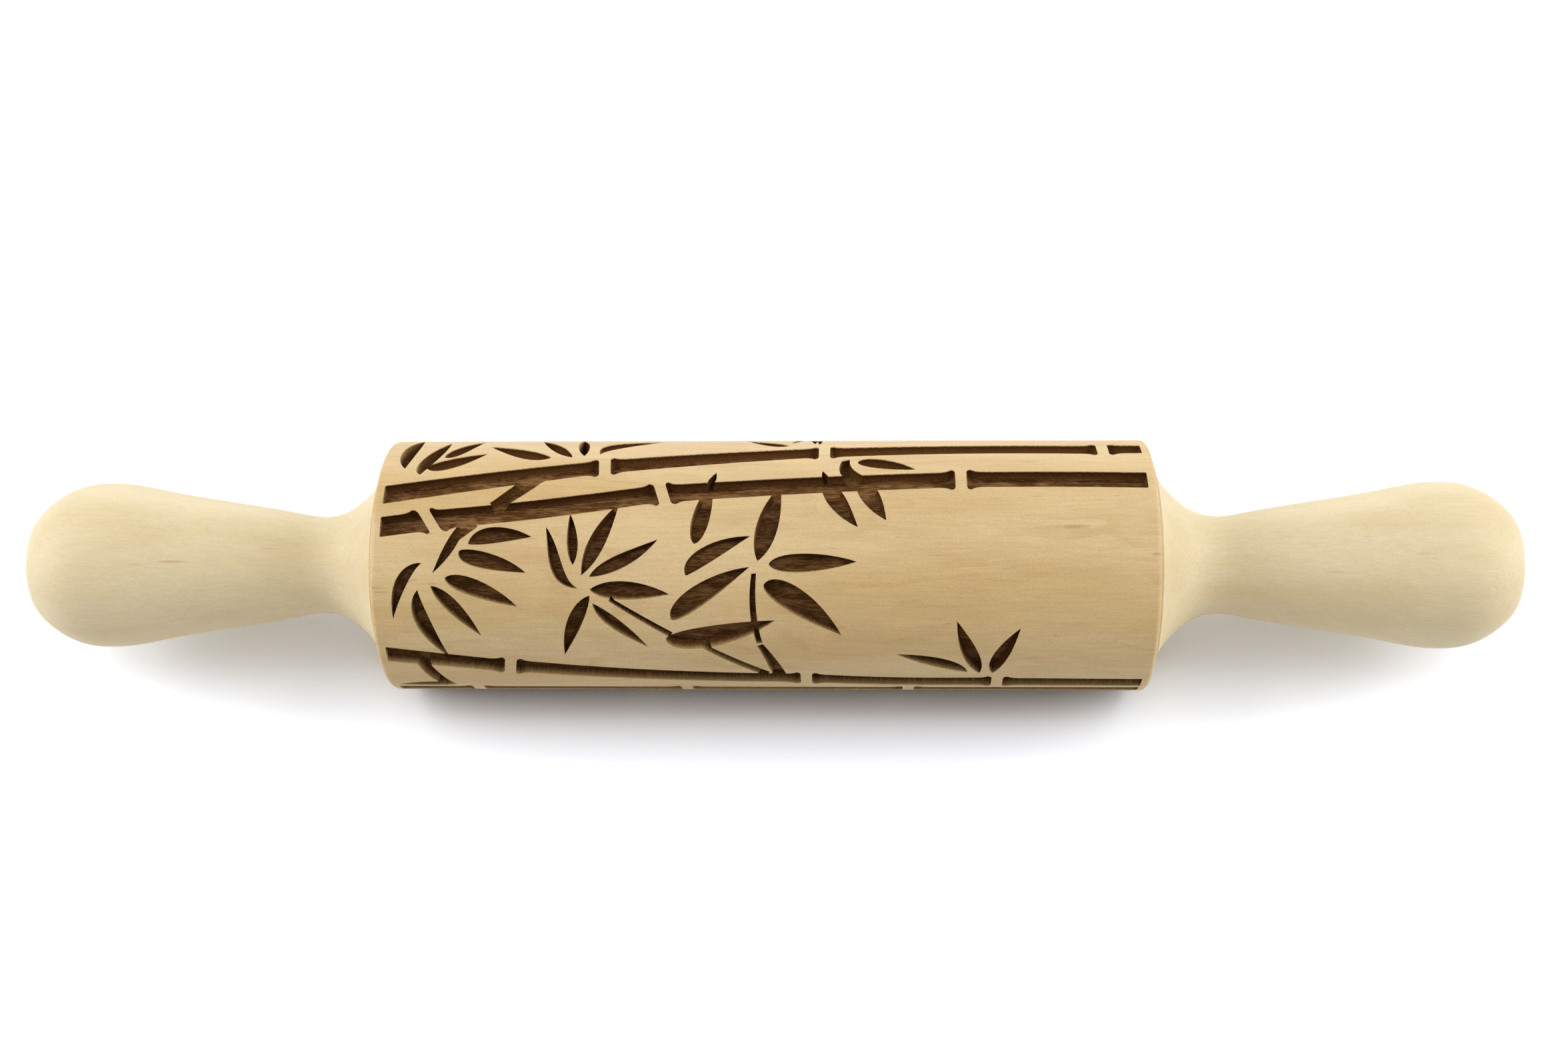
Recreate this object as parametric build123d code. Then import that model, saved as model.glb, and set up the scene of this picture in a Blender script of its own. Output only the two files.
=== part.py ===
"""Embossing rolling pin: an engraved wooden roller that spins on a steel axle between two turned handles.

The axle runs along X and +Z is up. The origin is on the axle, halfway along the roller. All sizes are in
millimetres. The roller turns on two flanged plain bushes pressed into its ends. A handle screws onto each end
of the axle by a metal insert, which stops on the axle's shoulder, so that the roller keeps its end float.
"""

from build123d import *

import os
from math import cos, hypot, pi, radians, sin, tan

# Roller
ROLLER_DIAMETER = 40.0
ROLLER_LENGTH = 120.0
ROLLER_EDGE_ROUND = 0.8
ROLLER_BORE = 12.0

# Engraving
ENGRAVING_DEPTH = 2.0
WALL_SLOPE = 0.35  # how far each wall of a cut leans in, from the surface down to the floor
TAPER_LIMIT = 0.4  # largest share of a narrow cut's width that its walls take up
ENGRAVING_MARGIN = 1.5  # plain band left at each end of the roller
FACING_ANGLE = 50.0  # the artwork's zero line, in degrees above the horizontal, on the -Y side

# Axle
AXLE_DIAMETER = 8.0
THREAD_DIAMETER = 6.0
THREAD_LENGTH = 13.0
AXLE_CHAMFER = 0.5

# Bushes
BUSH_DIAMETER = 14.0
BUSH_LENGTH = 12.0
BUSH_FLANGE_DIAMETER = 22.0
BUSH_FLANGE_THICKNESS = 1.5
BUSH_PROUD = 0.05  # how far a bush stands out of the roller's end

# Thrust washers
WASHER_DIAMETER = 18.0
WASHER_THICKNESS = 0.8

# Handle inserts
INSERT_DIAMETER = 9.0
INSERT_LENGTH = 14.0
INSERT_FLANGE_DIAMETER = 12.0
INSERT_FLANGE_THICKNESS = 1.2
INSERT_BARBS = 4
BARB_DEPTH = 0.4
BARB_GAP = 0.5  # height of the groove under each barb

# Handles: places are measured out from the collar's face, and sizes are radii
COLLAR_GAP = 0.2  # from the roller's end to the collar's face
COLLAR_RADIUS = 17.5
COLLAR_RIM = 0.4
COVE_RADIUS = 10.9
COVE_PLACE = 4.5
NECK_RADIUS = 7.82
NECK_PLACE = 11.7
GRIP_START_RADIUS = 8.32
GRIP_START_PLACE = 15.5
GRIP_SWELL_RADIUS = 12.05
GRIP_SWELL_PLACE = 37.5
KNOB_RADIUS = 13.3
KNOB_PLACE = 46.7
KNOB_SHOULDER_RADIUS = 11.84
KNOB_SHOULDER_PLACE = 53.0
KNOB_CROWN_RADIUS = 9.0
KNOB_CROWN_PLACE = 56.8
HANDLE_LENGTH = 58.4
COVE_LEAN = 78.0  # how steeply the cove leaves the collar's rim, in degrees from the axle
PILOT_SPARE = 2.0  # hole left past the end of each insert

# Clearances, radial unless they say otherwise
RUNNING_CLEARANCE = 0.05  # axle in bush
WASHER_CLEARANCE = 0.1  # washer on axle
RECESS_CLEARANCE = 0.15  # flange or washer in its recess
END_FLOAT = 0.1  # along the axle, between each bush and its washer

# Artwork: bamboo stalks with leaves, drawn flat in mm. The first number of a point runs along the roller from
# its middle, and the second runs round it, up from the zero line. The drawing is stretched to the roller.
ART_LENGTH = 117.0
ART_GIRTH = 125.7
JOINT_GAP = 1.75  # left plain at each joint of a stalk
JOINT_FLARE = 0.5  # how much a stalk widens to each side at a joint
FLARE_LENGTH = 2.6
PLAIN_END = 1.0  # straight stretch at an end that is no joint
CORNER_ROUND = 0.7  # of a stalk's corners at a joint
END_ROUND = 0.2  # of its corners at an end that is no joint
SPRAY_HEART = 1.2  # from the centre of a spray to where its leaves begin
BELLY = 1.1  # fullness of a leaf's base half against its tip half
LEAF_NEAR = 0.38  # share of a leaf's length at which its curve is steered, near the base, where it is sharp
LEAF_FAR = 0.62  # the same near the tip
SPRAY_BLUNTNESS = 0.7  # of the leaves of a spray, at their base
MIDDLE_PULL = 0.75  # how far the middle of a cubic curve follows its two steering points
CUTTER_RISE = 1.0  # how far a cutter stands out of the surface
CUTTER_DROP = 2.5  # how far a cutter reaches below the floor at its middle

# Stalks: the joints and ends as (along, round, slant, bow of the length that follows), then the width.
STALKS = [
    ([(-58.5, 11.4, 0.0, 0.0), (-24.9, 17.4, -0.4, 0.1), (9.15, 21.7, 0.0, 0.5), (52.5, 22.7, 0.0, 0.0),
      (58.5, 22.8, 0.0, 0.0)], 3.4),
    ([(-58.5, 5.9, 0.0, 0.0), (-51.0, 6.9, -2.6, -0.3), (-15.6, 11.6, -1.3, 0.2), (30.1, 14.4, 0.0, 0.1),
      (58.5, 14.2, 0.0, 0.0)], 3.2),
    ([(-58.5, -15.3, 0.0, 0.0), (-39.6, -18.2, 0.7, -0.6), (6.3, -22.0, 0.0, -0.4), (36.0, -23.1, 0.0, 0.0),
      (58.5, -23.4, 0.0, 0.0)], 3.2),
    ([(-58.5, -27.5, 0.0, 0.0), (-45.9, -27.6, 0.0, 0.0), (-12.7, -27.7, 0.0, 0.0), (22.3, -27.7, 0.0, 0.0),
      (58.5, -27.5, 0.0, 0.0)], 3.3),
    ([(-58.5, 38.9, 0.0, 0.0), (-41.0, 38.0, 0.5, 0.0), (-4.0, 36.8, 0.0, -0.3), (31.0, 36.2, -0.4, 0.0),
      (58.5, 36.3, 0.0, 0.0)], 3.3),
    ([(-58.5, 52.6, 0.0, 0.0), (-27.0, 54.9, 0.8, 0.4), (14.0, 57.8, 0.0, 0.0), (45.0, 59.6, -1.0, 0.0),
      (58.5, 60.4, 0.0, 0.0)], 3.1),
    ([(-58.5, 70.4, 0.0, 0.0), (-46.0, 70.0, 0.0, 0.3), (-9.0, 68.4, -1.0, 0.0), (28.0, 67.2, 0.0, 0.0),
      (58.5, 66.3, 0.0, 0.0)], 3.4),
    ([(-58.5, 87.6, 0.0, 0.0), (-20.0, 88.3, 0.0, 0.0), (21.0, 88.8, 0.6, 0.2), (50.0, 88.7, 0.0, 0.0),
      (58.5, 88.6, 0.0, 0.0)], 3.2),
]
# Leaves: base, tip, width, bend near the base, bend near the tip, bluntness of the base.
LEAVES = [
    ((-56.0, 16.9), (-55.1, 29.0), 2.4, 0.8, 0.1, 0.5),
    ((-53.4, 15.5), (-50.4, 26.5), 2.2, 1.0, -0.8, 0.9),
    ((-50.3, 19.9), (-45.0, 27.6), 2.3, -0.4, -0.3, 0.8),
    ((-52.6, 17.0), (-43.6, 21.3), 2.5, -0.4, -0.5, 0.9),
    ((-33.5, 19.9), (-43.8, 24.2), 2.8, 0.7, 0.4, 0.6),
    ((-30.2, 20.0), (-35.9, 28.4), 2.1, 0.4, 0.4, 0.5),
    ((-28.4, 20.4), (-29.5, 29.5), 1.8, 0.0, 0.0, 0.5),
    ((-25.9, 20.9), (-16.0, 27.3), 2.5, 2.2, 1.0, 0.8),
    ((3.8, 24.5), (-3.5, 28.4), 2.0, 0.8, 0.6, 0.6),
    ((6.0, 31.4), (3.9, 25.7), 1.3, 0.2, 0.2, 0.6),
    ((7.1, 31.2), (7.6, 25.4), 1.1, 0.1, 0.2, 0.5),
    ((8.0, 31.4), (8.4, 25.0), 0.9, 0.3, 0.1, 0.5),
    ((-45.8, 6.8), (-50.3, -1.3), 1.6, 0.3, 0.3, 0.6),
    ((-44.9, 3.2), (-35.2, 4.3), 2.5, 1.0, 0.9, 0.7),
    ((-46.3, 2.0), (-36.0, -1.2), 2.5, -0.5, 0.3, 0.95),
    ((-48.4, -2.0), (-37.4, -6.5), 2.7, 0.1, 0.4, 0.8),
    ((-50.6, -3.2), (-43.3, -11.5), 2.2, 0.2, 0.3, 0.6),
    ((-52.6, -3.8), (-48.7, -15.8), 2.4, -1.4, -0.9, 0.6),
    ((-51.9, 0.3), (-56.6, -8.5), 1.8, -1.5, -1.3, 0.6),
    ((-28.1, -3.6), (-33.1, 5.9), 1.9, 2.3, 0.3, 0.4),
    ((-28.9, 0.0), (-29.5, 8.1), 1.7, -0.1, -0.2, 0.5),
    ((-27.6, -1.6), (-22.0, 10.0), 2.5, 0.1, 0.1, 0.4),
    ((-26.4, -1.8), (-16.0, 3.9), 2.1, 0.1, -0.5, 0.5),
    ((-26.4, -3.8), (-14.2, -4.5), 2.9, 0.0, 0.3, 0.5),
    ((-26.4, -4.7), (-30.8, -15.3), 2.3, -0.5, -0.7, 0.6),
    ((-26.0, -5.9), (-17.8, -13.6), 1.9, -0.5, 0.0, 0.5),
    ((-10.5, 3.2), (-8.0, 13.9), 2.7, 0.0, 0.0, 0.8),
    ((-0.9, 0.6), (2.5, 13.2), 3.3, 0.0, 0.0, 0.5),
    ((-11.8, -1.6), (-2.0, 4.4), 2.5, 1.0, 1.0, 0.9),
    ((-14.1, -8.7), (-2.1, -0.3), 3.2, 0.7, 0.9, 0.9),
    ((0.8, 0.1), (14.1, 0.5), 2.8, 0.0, 0.1, 0.8),
    ((0.1, -2.9), (11.8, -11.3), 3.9, 0.5, 0.7, 0.95),
    ((-15.1, -12.2), (1.7, -8.7), 4.0, -0.9, -0.9, 0.95),
    ((-8.7, 12.5), (-7.5, 15.9), 1.1, 0.1, -0.2, 0.2),
    ((9.7, 14.0), (8.9, 16.2), 0.9, 0.0, 0.1, 0.2),
    ((14.3, 18.4), (23.3, 16.5), 2.4, 0.3, 0.4, 0.9),
    ((9.4, 14.0), (14.3, 5.8), 2.9, -0.3, -0.6, 0.8),
    ((14.7, 14.2), (18.6, 6.9), 3.0, 0.0, -0.3, 0.9),
    ((31.3, -19.6), (20.2, -15.1), 2.3, -0.9, -0.3, 0.6),
    ((33.1, -19.9), (29.3, -8.8), 2.5, -0.2, 0.1, 0.5),
    ((35.1, -19.9), (39.0, -10.0), 2.4, 0.6, 0.6, 0.6),
    ((-48.9, -24.5), (-58.3, -24.7), 1.7, -0.3, -0.4, 0.7),
]
# Twigs: start, end, width at the start, width at the end, bend.
TWIGS = [
    ((-35.6, 14.4), (-41.4, 9.2), 2.8, 1.8, 0.2),
    ((-33.6, 15.2), (-37.2, 12.8), 1.6, 1.8, 0.0),
    ((-44.3, 6.7), (-47.2, 3.7), 2.2, 1.0, 0.0),
    ((-23.4, -5.3), (-14.2, -11.3), 0.7, 1.1, 0.0),
    ((-1.45, -1.3), (-0.7, -12.9), 0.9, 1.1, -0.55),
    ((-9.5, -13.4), (0.4, -20.2), 1.0, 1.4, 0.0),
    ((-0.7, -13.2), (2.2, -20.6), 1.1, 2.3, 0.3),
    ((12.5, 19.0), (14.0, 14.6), 1.4, 2.9, -0.8),
    ((-53.4, -16.5), (-50.0, -24.8), 2.1, 2.0, -0.2),
    ((8.9, 36.0), (6.8, 31.8), 1.4, 1.0, 0.3),
    ((-32.4, 54.2), (-37.2, 47.0), 1.5, 0.9, 0.4),
    ((26.0, 57.8), (21.8, 46.9), 1.6, 0.9, -0.4),
    ((-44.6, 69.0), (-48.2, 62.7), 1.4, 0.9, 0.2),
    ((9.6, 67.4), (5.5, 62.9), 1.3, 0.9, -0.2),
    ((-20.2, 69.4), (-23.7, 77.2), 1.6, 0.9, 0.4),
    ((22.6, 88.2), (18.4, 77.8), 1.5, 0.9, -0.3),
]
# Sprays: the centre, then each leaf as (direction in degrees, reach, width, bend).
SPRAYS = [
    ((-37.5, 46.4), [(200, 11.0, 2.6, 0.6), (160, 9.5, 2.2, -0.4), (80, 6.0, 1.8, 0.2), (20, 12.0, 2.9, 0.5),
                     (-20, 11.0, 2.6, -0.4), (-60, 6.0, 1.8, -0.3)]),
    ((21.5, 46.0), [(150, 11.5, 2.7, -0.5), (185, 13.0, 3.0, 0.4), (225, 9.0, 2.2, 0.4), (-15, 12.0, 2.8, 0.5),
                    (35, 10.5, 2.4, 0.5), (80, 7.5, 2.0, -0.3)]),
    ((-48.5, 62.0), [(15, 10.5, 2.5, 0.4), (-25, 9.0, 2.2, -0.5), (165, 8.5, 2.2, -0.4), (210, 8.5, 2.1, 0.5)]),
    ((5.0, 62.6), [(165, 10.0, 2.2, 0.3), (195, 9.0, 2.0, -0.3), (5, 9.0, 2.0, 0.2)]),
    ((-24.0, 78.0), [(95, 7.6, 2.2, 0.3), (50, 9.0, 2.4, 0.4), (8, 13.5, 3.2, 0.5), (-30, 11.0, 2.6, -0.5),
                     (175, 13.0, 3.0, -0.5), (215, 10.5, 2.5, 0.5), (140, 10.0, 2.4, -0.4)]),
    ((18.0, 77.0), [(70, 9.0, 2.4, 0.4), (25, 12.0, 2.8, 0.6), (-20, 12.0, 3.0, -0.4), (150, 11.0, 2.6, -0.5),
                    (195, 12.5, 3.0, 0.4), (-65, 7.0, 1.9, 0.3)]),
    ((46.5, 85.6), [(228, 10.5, 2.3, 0.4), (262, 9.5, 2.4, 0.2), (305, 10.0, 2.2, -0.5)]),
]

# Worked-out sizes
roller_radius = ROLLER_DIAMETER / 2
roller_end = ROLLER_LENGTH / 2
floor_radius = roller_radius - ENGRAVING_DEPTH
axle_radius = AXLE_DIAMETER / 2
thread_radius = THREAD_DIAMETER / 2
bush_radius = BUSH_DIAMETER / 2
bush_outer_face = roller_end + BUSH_PROUD
bush_flange_back = bush_outer_face - BUSH_FLANGE_THICKNESS
bush_inner_end = bush_flange_back - BUSH_LENGTH
washer_inner_face = bush_outer_face + END_FLOAT
shoulder = washer_inner_face + WASHER_THICKNESS
insert_flange_back = shoulder + INSERT_FLANGE_THICKNESS
insert_end = shoulder + INSERT_LENGTH
insert_radius = INSERT_DIAMETER / 2
collar_face = roller_end + COLLAR_GAP


def ring(start, end, outer, inner=0.0):
    """Round tube or disc about the axle, from one place on it to another."""
    length = end - start
    body = Cylinder(outer, length, rotation=(0, 90, 0))
    if inner > 0:
        body -= Cylinder(inner, 2 * length, rotation=(0, 90, 0))
    return Pos((start + end) / 2, 0, 0) * body


def other_end(shape):
    """The same piece turned round for the left end."""
    return Rot(0, 0, 180) * shape


# Artwork


def cutter(u_middle, width, outline):
    """Solid that cuts one motif. outline(share) gives its edges flat, with share of its width kept."""
    taper = min(TAPER_LIMIT, 2 * WALL_SLOPE / width)
    turn = 2 * pi / ART_GIRTH
    stretch = (ROLLER_LENGTH - 2 * ENGRAVING_MARGIN) / ART_LENGTH
    top = roller_radius + CUTTER_RISE
    bottom = floor_radius - CUTTER_DROP
    faces = []
    for radius in (top, bottom):
        kept = 1 - taper * (roller_radius - radius) / ENGRAVING_DEPTH
        edges = []
        for points in outline(kept):
            placed = [(x * stretch, radius * tan((u - u_middle) * turn), radius) for x, u in points]
            edges.append(Line(*placed) if len(placed) == 2 else Bezier(*placed))
        faces.append(Face(Wire(edges)))
    angle = FACING_ANGLE + u_middle * 360 / ART_GIRTH
    return Rot(90 - angle, 0, 0) * Solid.make_loft([face.outer_wire() for face in faces], ruled=True)


def strip_axes(start, end):
    """Unit vectors along a line in the drawing and to its left, and its length."""
    run = (end[0] - start[0], end[1] - start[1])
    length = hypot(*run)
    along = (run[0] / length, run[1] / length)
    return along, (-along[1], along[0]), length


def moved(point, along, distance, across, offset):
    """A point of the drawing moved along a line and to its left."""
    return tuple(point[i] + along[i] * distance + across[i] * offset for i in (0, 1))


def leaf(base, tip, width, bend_base, bend_tip, bluntness):
    """Cutter for a leaf: a curve from base to tip on each side of a bent midline."""
    along, across, length = strip_axes(base, tip)

    def outline(kept):
        near = LEAF_NEAR * length * (1 - bluntness)
        far = LEAF_FAR * length
        sides = []
        for side in (1, -1):
            half = side * kept * width / 2
            first = moved(base, along, near, across, (half * BELLY + bend_base) / MIDDLE_PULL)
            second = moved(base, along, far, across, (half * (2 - BELLY) + bend_tip) / MIDDLE_PULL)
            sides.append([base, first, second, tip])
        return [sides[0], sides[1][::-1]]

    return cutter((base[1] + tip[1]) / 2, width, outline)


def twig(start, end, start_width, end_width, bend):
    """Cutter for a twig: a bent strip that widens from one end to the other."""
    along, across, length = strip_axes(start, end)

    def outline(kept):
        corners = []
        for side in (1, -1):
            first = moved(start, along, 0, across, side * kept * start_width / 2)
            middle_half = side * kept * (start_width + end_width) / 4
            middle = moved(start, along, length / 2, across, middle_half + 2 * bend)
            last = moved(end, along, 0, across, side * kept * end_width / 2)
            corners.append([first, middle, last])
        left, right = corners
        return [left, [left[2], right[2]], right[::-1], [right[0], left[0]]]

    return cutter((start[1] + end[1]) / 2, min(start_width, end_width), outline)


def stalk_length(start, end, width, flare_start, flare_end):
    """Cutter for one length of stalk between two joints, flared and rounded where it meets them."""
    slope = (end[1] - start[1]) / (end[0] - start[0])
    bow = start[3]

    def outline(kept):
        half = kept * width / 2
        sides = []
        for side in (1, -1):
            ends = []
            for place, inward, flared in ((start, 1, flare_start), (end, -1, flare_end)):
                rise = half + (JOINT_FLARE if flared else 0)
                face = place[0] + inward * (JOINT_GAP / 2 if flared else 0)
                reach = FLARE_LENGTH if flared else PLAIN_END
                corner_round = CORNER_ROUND if flared else END_ROUND
                corner = face + side * place[2] / 2
                below = face + side * place[2] / 2 * (rise - corner_round) / rise
                level = [(below, rise - corner_round), (corner, rise), (corner + inward * corner_round, rise),
                         (corner + inward * reach / 2, half), (corner + inward * reach, half)]
                ends.append([(x, start[1] + slope * (x - start[0]) + side * up) for x, up in level])
            sides.append(ends)
        loops = []
        for first, last in sides:
            middle_x = (first[4][0] + last[4][0]) / 2
            middle_u = (first[4][1] + last[4][1]) / 2 + 2 * bow
            loops.append([first[0:3], first[2:5], [first[4], (middle_x, middle_u), last[4]],
                          last[2:5][::-1], last[0:3][::-1]])
        edges = loops[0] + [[sides[0][1][0], sides[1][1][0]]] + [points[::-1] for points in loops[1][::-1]]
        edges.append([sides[1][0][0], sides[0][0][0]])
        return edges

    return cutter((start[1] + end[1]) / 2, width, outline)


def art_cutters():
    """Cutters for every stalk, leaf and twig."""
    cutters = []
    for joints, width in STALKS:
        last = len(joints) - 2
        for index, (start, end) in enumerate(zip(joints[:-1], joints[1:])):
            cutters.append(stalk_length(start, end, width, index > 0, index < last))
    for form in LEAVES:
        cutters.append(leaf(*form))
    for form in TWIGS:
        cutters.append(twig(*form))
    for centre, fan in SPRAYS:
        for direction, reach, width, bend in fan:
            away = (cos(radians(direction)), sin(radians(direction)))
            base = moved(centre, away, SPRAY_HEART, away, 0)
            tip = moved(centre, away, reach, away, 0)
            cutters.append(leaf(base, tip, width, bend, bend, SPRAY_BLUNTNESS))
    return cutters


def make_roller():
    """Engraved roller, bored through and counterbored at each end for its bush."""
    blank = ring(-roller_end, roller_end, roller_radius)
    blank = fillet(blank.edges().filter_by(GeomType.CIRCLE), ROLLER_EDGE_ROUND)
    core = ring(-roller_end, roller_end, floor_radius)
    cuts = [piece - core for piece in art_cutters()]
    roller = blank - cuts
    roller -= ring(-roller_end, roller_end, ROLLER_BORE / 2)
    for seat in (ring(bush_inner_end, roller_end, bush_radius),
                 ring(bush_flange_back, roller_end, BUSH_FLANGE_DIAMETER / 2 + RECESS_CLEARANCE)):
        roller -= [seat, other_end(seat)]
    return roller


def make_axle():
    """Steel rod with a reduced threaded end beyond each shoulder. The threads are drawn plain."""
    rod = ring(-shoulder, shoulder, axle_radius)
    end = ring(shoulder, shoulder + THREAD_LENGTH, thread_radius)
    end = chamfer(end.edges().sort_by(Axis.X)[-1], AXLE_CHAMFER)
    return rod + end + other_end(end)


def make_bush():
    """Flanged plain bush for the right end."""
    bore = axle_radius + RUNNING_CLEARANCE
    sleeve = ring(bush_inner_end, bush_outer_face, bush_radius, bore)
    flange = ring(bush_flange_back, bush_outer_face, BUSH_FLANGE_DIAMETER / 2, bore)
    return sleeve + flange


def make_washer():
    """Thrust washer for the right end."""
    return ring(washer_inner_face, shoulder, WASHER_DIAMETER / 2, axle_radius + WASHER_CLEARANCE)


def make_insert():
    """Barbed and flanged metal insert for the right handle, tapped for the axle and drawn plain."""
    insert = ring(shoulder, insert_end, insert_radius, thread_radius)
    insert += ring(shoulder, insert_flange_back, INSERT_FLANGE_DIAMETER / 2, thread_radius)
    pitch = (insert_end - insert_flange_back) / (INSERT_BARBS + 1)
    for index in range(INSERT_BARBS):
        groove = insert_flange_back + pitch * (index + 1)
        insert -= ring(groove, groove + BARB_GAP, insert_radius + BARB_GAP, insert_radius - BARB_DEPTH)
    return insert


def make_handle():
    """Turned wooden handle for the right end, bored for its insert and recessed for the washer."""

    def at(place, radius):
        return (collar_face + place, radius)

    outer_end = collar_face + HANDLE_LENGTH
    rim = (collar_face + COLLAR_RIM, COLLAR_RADIUS)
    lean = (1, -tan(radians(COVE_LEAN)))
    cove = Spline(rim, at(COVE_PLACE, COVE_RADIUS), at(NECK_PLACE, NECK_RADIUS), tangents=[lean, (1, 0)])
    grip = Spline(cove @ 1, at(GRIP_START_PLACE, GRIP_START_RADIUS), at(GRIP_SWELL_PLACE, GRIP_SWELL_RADIUS),
                  at(KNOB_PLACE, KNOB_RADIUS), tangents=[(1, 0), (1, 0)])
    knob = Spline(grip @ 1, at(KNOB_SHOULDER_PLACE, KNOB_SHOULDER_RADIUS),
                  at(KNOB_CROWN_PLACE, KNOB_CROWN_RADIUS), (outer_end, 0), tangents=[(1, 0), (0, -1)])
    face = Polyline((outer_end, 0), (collar_face, 0), (collar_face, COLLAR_RADIUS), rim)
    profile = make_face([cove, grip, knob, face])
    handle = revolve(profile, Axis.X)
    handle -= ring(collar_face, shoulder, WASHER_DIAMETER / 2 + RECESS_CLEARANCE)
    handle -= ring(shoulder, insert_flange_back, INSERT_FLANGE_DIAMETER / 2)
    handle -= ring(shoulder, insert_end, insert_radius)
    handle -= ring(shoulder, insert_end + PILOT_SPARE, thread_radius)
    return handle


bush = make_bush()
washer = make_washer()
insert = make_insert()
handle = make_handle()
nodes = {
    "roller": make_roller(),
    "axle_rod": make_axle(),
    "right_bush": bush,
    "left_bush": other_end(bush),
    "right_thrust_washer": washer,
    "left_thrust_washer": other_end(washer),
    "right_handle_insert": insert,
    "left_handle_insert": other_end(insert),
    "right_handle": handle,
    "left_handle": other_end(handle),
}

os.makedirs("parts", exist_ok=True)
for name, shape in nodes.items():
    export_step(shape, f"parts/{name}.step")
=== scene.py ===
from math import radians

import bpy
from mathutils import Matrix, Vector


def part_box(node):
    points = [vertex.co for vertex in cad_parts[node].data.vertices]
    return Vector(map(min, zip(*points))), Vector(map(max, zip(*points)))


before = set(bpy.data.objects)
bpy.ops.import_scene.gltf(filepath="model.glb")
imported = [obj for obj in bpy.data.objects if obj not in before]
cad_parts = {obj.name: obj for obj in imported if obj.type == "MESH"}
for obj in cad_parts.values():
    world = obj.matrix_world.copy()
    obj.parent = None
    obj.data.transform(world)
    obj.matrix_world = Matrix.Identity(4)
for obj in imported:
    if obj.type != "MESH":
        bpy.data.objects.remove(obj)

bl_info = {
    "name": "Embossing rolling pin",
    "version": (1, 0, 0),
    "blender": (4, 5, 0),
    "location": "3D View > Sidebar > Rolling Pin",
    "description": "Finishes a rolling pin's woods and metals and sets a plain studio round it",
    "category": "Object",
}

# Sizes that the frame gives, in metres
ROLLER_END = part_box("roller")[1].x
ROLLER_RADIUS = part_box("roller")[1].z

# Radius of the plain cylinder on which the handles' flecks are placed, in metres
HANDLE_SKIN = 0.012

# How far up from the front the middle of the artwork stands, which is also the camera's height
ARTWORK_TURN = radians(50)

# Millimetres in a metre
MILLIMETRES = 1000.0

# Cells of noise in a millimetre of wood, along the grain and across it both ways
SLOW_GRAIN = (0.018, 0.07, 0.07)
WIDE_GRAIN = (0.03, 0.16, 0.16)
STRAND_GRAIN = (0.16, 2.6, 2.6)
GRIT_GRAIN = (2.4, 5.0, 5.0)
PORE_GRAIN = (0.42, 3.2, 3.2)

# Cells of noise in a metre of the roller: warm patches in its wood, and on its engraved floors the fine
# streaks' length, broad streaks and darker clouds
PATCHES = (16.0, 80.0, 80.0)
STREAKS_ALONG = 620.0
BROAD_STREAKS = (170.0, 750.0, 750.0)
CLOUDS = 85.0

# Cells of noise for the flutes on the engraved walls: in a metre along the roller, and in a radian round it
FLUTES_ALONG = 4200.0
FLUTES_ROUND = 90.0

# Cells of noise in a metre of metal: drawn along the axle, or turned, along it and out from it
DRAWN_MARKS = (60.0, 9000.0, 9000.0)
TURNED_MARKS = (9000.0, 4000.0, 0.0)

# The studio floor's own white, the cooler tint that the camera sees against the wood's warm glow on it, and
# how far from the object it starts to turn plain white and has turned, in metres
FLOOR_WHITE = (0.82, 0.82, 0.82)
COOL_TINT = (0.965, 1.0, 1.08)
FADE_START = 0.25
FADE_END = 0.55

# The way that walls with painted light face, towards the lamps: along the roller, and up round it
LIT_ALONG = 0.45
LIT_ROUND = 0.9

# How far down the engraved walls, in metres: where the scorch starts, how soon it is full, where the soot
# starts to thin out between the flutes, and where it ends
SCORCH_START = 0.00002
SCORCH_FADE = 0.00014
SOOT_START = 0.0003
SOOT_REACH = 0.0011

# How far above the engraved floor the wall's colour starts to turn into the floor's, and ends, in metres
FOOT_START = 0.0009
FOOT_END = 0.00008

# How soon the burnt colour ends at the plain margins, and how far below the engraved floor, in metres
MARGIN_FADE = 0.00005
BORE_GUARD = 0.0004


def colour(name, what, value):
    """Colour setting for a property group."""
    return bpy.props.FloatVectorProperty(
        name=name, description=what, default=value, size=3, subtype="COLOR", min=0.0, max=1.0
    )


def length(name, what, value):
    """Length setting for a property group, in metres."""
    return bpy.props.FloatProperty(name=name, description=what, default=value, min=0.0, unit="LENGTH")


def share(name, what, value, most=1.0):
    """Plain number setting for a property group."""
    return bpy.props.FloatProperty(name=name, description=what, default=value, min=0.0, max=most)


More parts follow.
